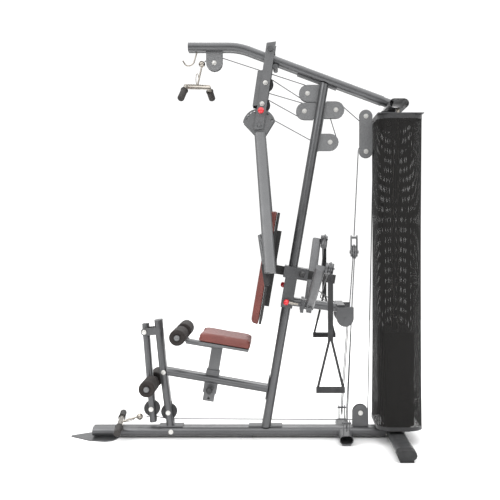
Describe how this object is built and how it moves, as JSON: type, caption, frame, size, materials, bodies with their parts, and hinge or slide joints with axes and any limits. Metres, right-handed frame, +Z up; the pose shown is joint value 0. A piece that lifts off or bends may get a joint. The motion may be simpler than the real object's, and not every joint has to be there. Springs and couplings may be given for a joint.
{
  "type": "multi station home gym",
  "caption": "Multi station home gym: leaning upright, top boom, shrouded weight stack, hung press arm, leg developer, adjustable seat and backrest, two swivelling cable arms",
  "frame": {"origin": "on the floor under the base beam, at the underside of its middle pad", "axes": "+Z up; -X towards the front foot plate, the way a seated user faces; +Y towards the seated user's right"},
  "size_m": [1.872, 1.0343, 2.124],
  "materials": {
    "frame": "satin graphite grey paint",
    "bracket": "lighter grey speckled paint",
    "chrome": "polished",
    "rubber": "matte black rubber and foam",
    "pulley": "black nylon",
    "cable": "black sheathed steel rope",
    "vinyl": "red-brown vinyl",
    "board": "black painted board",
    "mesh": "black woven mesh",
    "iron": "black plates"
  },
  "bodies": {
    "root": {"base_beam": "frame", "front_foot_plate": "frame", "rear_foot": "frame", "main_upright": "frame", "top_boom": "frame", "guide_head": "frame", "shroud_top_plate": "frame", "front_post": "frame", "seat_rail": "frame", "arm_carriage": "frame", "lat_bracket": "bracket", "front_pulley_bracket": "bracket", "rear_pulley_bracket": "bracket", "guide_rod_left": "chrome", "guide_rod_right": "chrome", "rear_shoe_left": "rubber", "rear_shoe_right": "rubber", "high_cable": "cable", "low_cable": "cable", "arm_cable": "cable", "mesh_shroud": "mesh", "weight_plates_resting": "iron"},
    "swing_arm": {"swing_arm": "frame"},
    "press_arm": {"press_arm": "frame", "press_grip_left": "rubber", "press_grip_right": "rubber"},
    "leg_lever": {"leg_lever": "frame"},
    "seat": {"seat_cushion": "vinyl", "seat_post": "board"},
    "backrest": {"backrest_cushion": "vinyl", "backrest_frame": "board"},
    "cable_arm_left": {"cable_arm_left": "frame"},
    "cable_arm_right": {"cable_arm_right": "frame"},
    "double_pulley_block": {"double_pulley_block": "bracket"},
    "floating_pulley_block": {"floating_pulley_block": "bracket"},
    "lat_bar": {"lat_bar": "chrome"},
    "low_bar": {"low_bar": "chrome"},
    "press_knob": {"press_knob": "chrome"},
    "seat_knob": {"seat_knob": "chrome"},
    "backrest_knob": {"backrest_knob": "chrome"},
    "selector_pin": {"selector_pin": "chrome"},
    "leg_roller_left": {"leg_roller_left": "rubber"},
    "leg_roller_right": {"leg_roller_right": "rubber"},
    "seat_roller_left": {"seat_roller_left": "rubber"},
    "seat_roller_right": {"seat_roller_right": "rubber"},
    "handle_left": {"handle_left": "rubber"},
    "handle_right": {"handle_right": "rubber"},
    "lat_pulley": {"lat_pulley": "pulley"},
    "front_upper_pulley": {"front_upper_pulley": "pulley"},
    "front_lower_pulley": {"front_lower_pulley": "pulley"},
    "rear_upper_pulley": {"rear_upper_pulley": "pulley"},
    "rear_lower_pulley": {"rear_lower_pulley": "pulley"},
    "swing_upper_pulley": {"swing_upper_pulley": "pulley"},
    "swing_lower_pulley": {"swing_lower_pulley": "pulley"},
    "stack_top_pulley": {"stack_top_pulley": "pulley"},
    "base_pulley": {"base_pulley": "pulley"},
    "post_pulley": {"post_pulley": "pulley"},
    "lever_pulley": {"lever_pulley": "pulley"},
    "weight_carriage": {"weight_carriage": "iron"}
  },
  "joints": [
    {"name": "press_swing", "type": "hinge", "parent": "root", "child": "swing_arm", "pos_m": [0.126, 0, 2.083], "axis": [0, 1, 0], "range_deg": [0, 34], "deforming": ["high_cable"]},
    {"name": "press_arm_adjust", "type": "hinge", "parent": "swing_arm", "child": "press_arm", "pos_m": [0.066, 0, 1.678], "axis": [0, 1, 0], "range_deg": [0, 40]},
    {"name": "press_knob_pull", "type": "slide", "parent": "swing_arm", "child": "press_knob", "axis": [0, -1, 0], "range_m": [0, 0.012], "stiffness_N_per_m": 800, "springref_m": -0.004},
    {"name": "leg_lever_swing", "type": "hinge", "parent": "root", "child": "leg_lever", "pos_m": [-0.55, 0, 0.569], "axis": [0, 1, 0], "range_deg": [0, 75], "deforming": ["low_cable"]},
    {"name": "seat_height", "type": "slide", "parent": "root", "child": "seat", "axis": [0.168, 0, 0.9858], "range_m": [-0.05, 0.075]},
    {"name": "seat_knob_pull", "type": "slide", "parent": "root", "child": "seat_knob", "axis": [0, -1, 0], "range_m": [0, 0.012], "stiffness_N_per_m": 800, "springref_m": -0.004},
    {"name": "backrest_reach", "type": "slide", "parent": "root", "child": "backrest", "axis": [-0.9858, 0, 0.168], "range_m": [0, 0.09]},
    {"name": "backrest_knob_pull", "type": "slide", "parent": "root", "child": "backrest_knob", "axis": [0, -1, 0], "range_m": [0, 0.012], "stiffness_N_per_m": 800, "springref_m": -0.004},
    {"name": "cable_arm_left_swing", "type": "hinge", "parent": "root", "child": "cable_arm_left", "pos_m": [0.33354, -0.075, 0.70784], "axis": [0.9858, 0, -0.168], "range_deg": [-30, 30], "deforming": ["arm_cable"]},
    {"name": "handle_left_swing", "type": "hinge", "parent": "cable_arm_left", "child": "handle_left", "pos_m": [0.41878, -0.54376, 0.8982], "axis": [0, 1, 0], "range_deg": [-35, 35]},
    {"name": "cable_arm_right_swing", "type": "hinge", "parent": "root", "child": "cable_arm_right", "pos_m": [0.33354, 0.075, 0.70784], "axis": [0.9858, 0, -0.168], "range_deg": [-30, 30], "deforming": ["arm_cable"]},
    {"name": "handle_right_swing", "type": "hinge", "parent": "cable_arm_right", "child": "handle_right", "pos_m": [0.43856, 0.45342, 1.01426], "axis": [0, 1, 0], "range_deg": [-35, 35]},
    {"name": "weight_lift", "type": "slide", "parent": "root", "child": "weight_carriage", "axis": [0, 0, 1], "range_m": [0, 0.65], "deforming": ["high_cable"]},
    {"name": "lat_pull", "type": "slide", "parent": "root", "child": "lat_bar", "axis": [0, 0, -1], "range_m": [0, 0.65], "deforming": ["high_cable"]},
    {"name": "selector_pin_pull", "type": "slide", "parent": "weight_carriage", "child": "selector_pin", "axis": [-1, 0, 0], "range_m": [0, 0.013]},
    {"name": "double_block_drop", "type": "slide", "parent": "root", "child": "double_pulley_block", "axis": [0, 0, -1], "range_m": [0, 0.22], "deforming": ["high_cable", "low_cable"]},
    {"name": "low_pull", "type": "slide", "parent": "leg_lever", "child": "low_bar", "axis": [-1, 0, 0], "range_m": [0, 0.44], "deforming": ["low_cable"]},
    {"name": "floating_block_drop", "type": "slide", "parent": "root", "child": "floating_pulley_block", "axis": [0, 0, -1], "range_m": [0, 0.35], "deforming": ["low_cable", "arm_cable"]},
    {"name": "leg_roller_left_spin", "type": "hinge", "parent": "leg_lever", "child": "leg_roller_left", "pos_m": [-0.5085, -0.1275, 0.298], "axis": [0, 1, 0], "continuous": true},
    {"name": "leg_roller_right_spin", "type": "hinge", "parent": "leg_lever", "child": "leg_roller_right", "pos_m": [-0.5085, 0.1275, 0.298], "axis": [0, 1, 0], "continuous": true},
    {"name": "seat_roller_left_spin", "type": "hinge", "parent": "seat", "child": "seat_roller_left", "pos_m": [-0.352, -0.1275, 0.563], "axis": [0, 1, 0], "continuous": true},
    {"name": "seat_roller_right_spin", "type": "hinge", "parent": "seat", "child": "seat_roller_right", "pos_m": [-0.352, 0.1275, 0.563], "axis": [0, 1, 0], "continuous": true},
    {"name": "lat_pulley_spin", "type": "hinge", "parent": "root", "child": "lat_pulley", "pos_m": [-0.177, 0, 2.016], "axis": [0, 1, 0], "continuous": true},
    {"name": "front_upper_pulley_spin", "type": "hinge", "parent": "root", "child": "front_upper_pulley", "pos_m": [0.325, 0, 1.852], "axis": [0, 1, 0], "continuous": true},
    {"name": "swing_upper_pulley_spin", "type": "hinge", "parent": "swing_arm", "child": "swing_upper_pulley", "pos_m": [0.0988, 0, 1.902], "axis": [0, 1, 0], "continuous": true},
    {"name": "front_lower_pulley_spin", "type": "hinge", "parent": "root", "child": "front_lower_pulley", "pos_m": [0.309, 0, 1.756], "axis": [0, 1, 0], "continuous": true},
    {"name": "swing_lower_pulley_spin", "type": "hinge", "parent": "swing_arm", "child": "swing_lower_pulley", "pos_m": [0.0815, 0, 1.79], "axis": [0, 1, 0], "continuous": true},
    {"name": "rear_lower_pulley_spin", "type": "hinge", "parent": "root", "child": "rear_lower_pulley", "pos_m": [0.447, 0, 1.589], "axis": [0, 1, 0], "continuous": true},
    {"name": "rear_upper_pulley_spin", "type": "hinge", "parent": "root", "child": "rear_upper_pulley", "pos_m": [0.478, 0, 1.763], "axis": [0, 1, 0], "continuous": true},
    {"name": "stack_top_pulley_spin", "type": "hinge", "parent": "root", "child": "stack_top_pulley", "pos_m": [0.7595, 0, 1.69], "axis": [0, 1, 0], "continuous": true},
    {"name": "lever_pulley_spin", "type": "hinge", "parent": "leg_lever", "child": "lever_pulley", "pos_m": [-0.5137, 0, 0.155], "axis": [0, 1, 0], "continuous": true},
    {"name": "post_pulley_spin", "type": "hinge", "parent": "root", "child": "post_pulley", "pos_m": [-0.4217, 0, 0.137], "axis": [0, 1, 0], "continuous": true},
    {"name": "base_pulley_spin", "type": "hinge", "parent": "root", "child": "base_pulley", "pos_m": [0.61, 0, 0.133], "axis": [0, 1, 0], "continuous": true}
  ],
  "couplings": [
    {"joint": "lat_pull", "follows": "weight_lift", "ratio": 1},
    {"joint": "low_pull", "follows": "double_block_drop", "ratio": 2},
    {"joint": "lat_pulley_spin", "follows": "weight_lift", "rad_per_m": -24.691},
    {"joint": "front_upper_pulley_spin", "follows": "weight_lift", "rad_per_m": -24.691},
    {"joint": "swing_upper_pulley_spin", "follows": "weight_lift", "rad_per_m": 24.691},
    {"joint": "front_lower_pulley_spin", "follows": "weight_lift", "rad_per_m": -24.691},
    {"joint": "swing_lower_pulley_spin", "follows": "weight_lift", "rad_per_m": 24.691},
    {"joint": "rear_lower_pulley_spin", "follows": "weight_lift", "rad_per_m": 24.691},
    {"joint": "rear_upper_pulley_spin", "follows": "weight_lift", "rad_per_m": -24.691},
    {"joint": "stack_top_pulley_spin", "follows": "weight_lift", "rad_per_m": -24.691},
    {"joint": "lever_pulley_spin", "follows": "double_block_drop", "rad_per_m": 49.383},
    {"joint": "post_pulley_spin", "follows": "double_block_drop", "rad_per_m": 49.383},
    {"joint": "base_pulley_spin", "follows": "double_block_drop", "rad_per_m": 49.383}
  ]
}
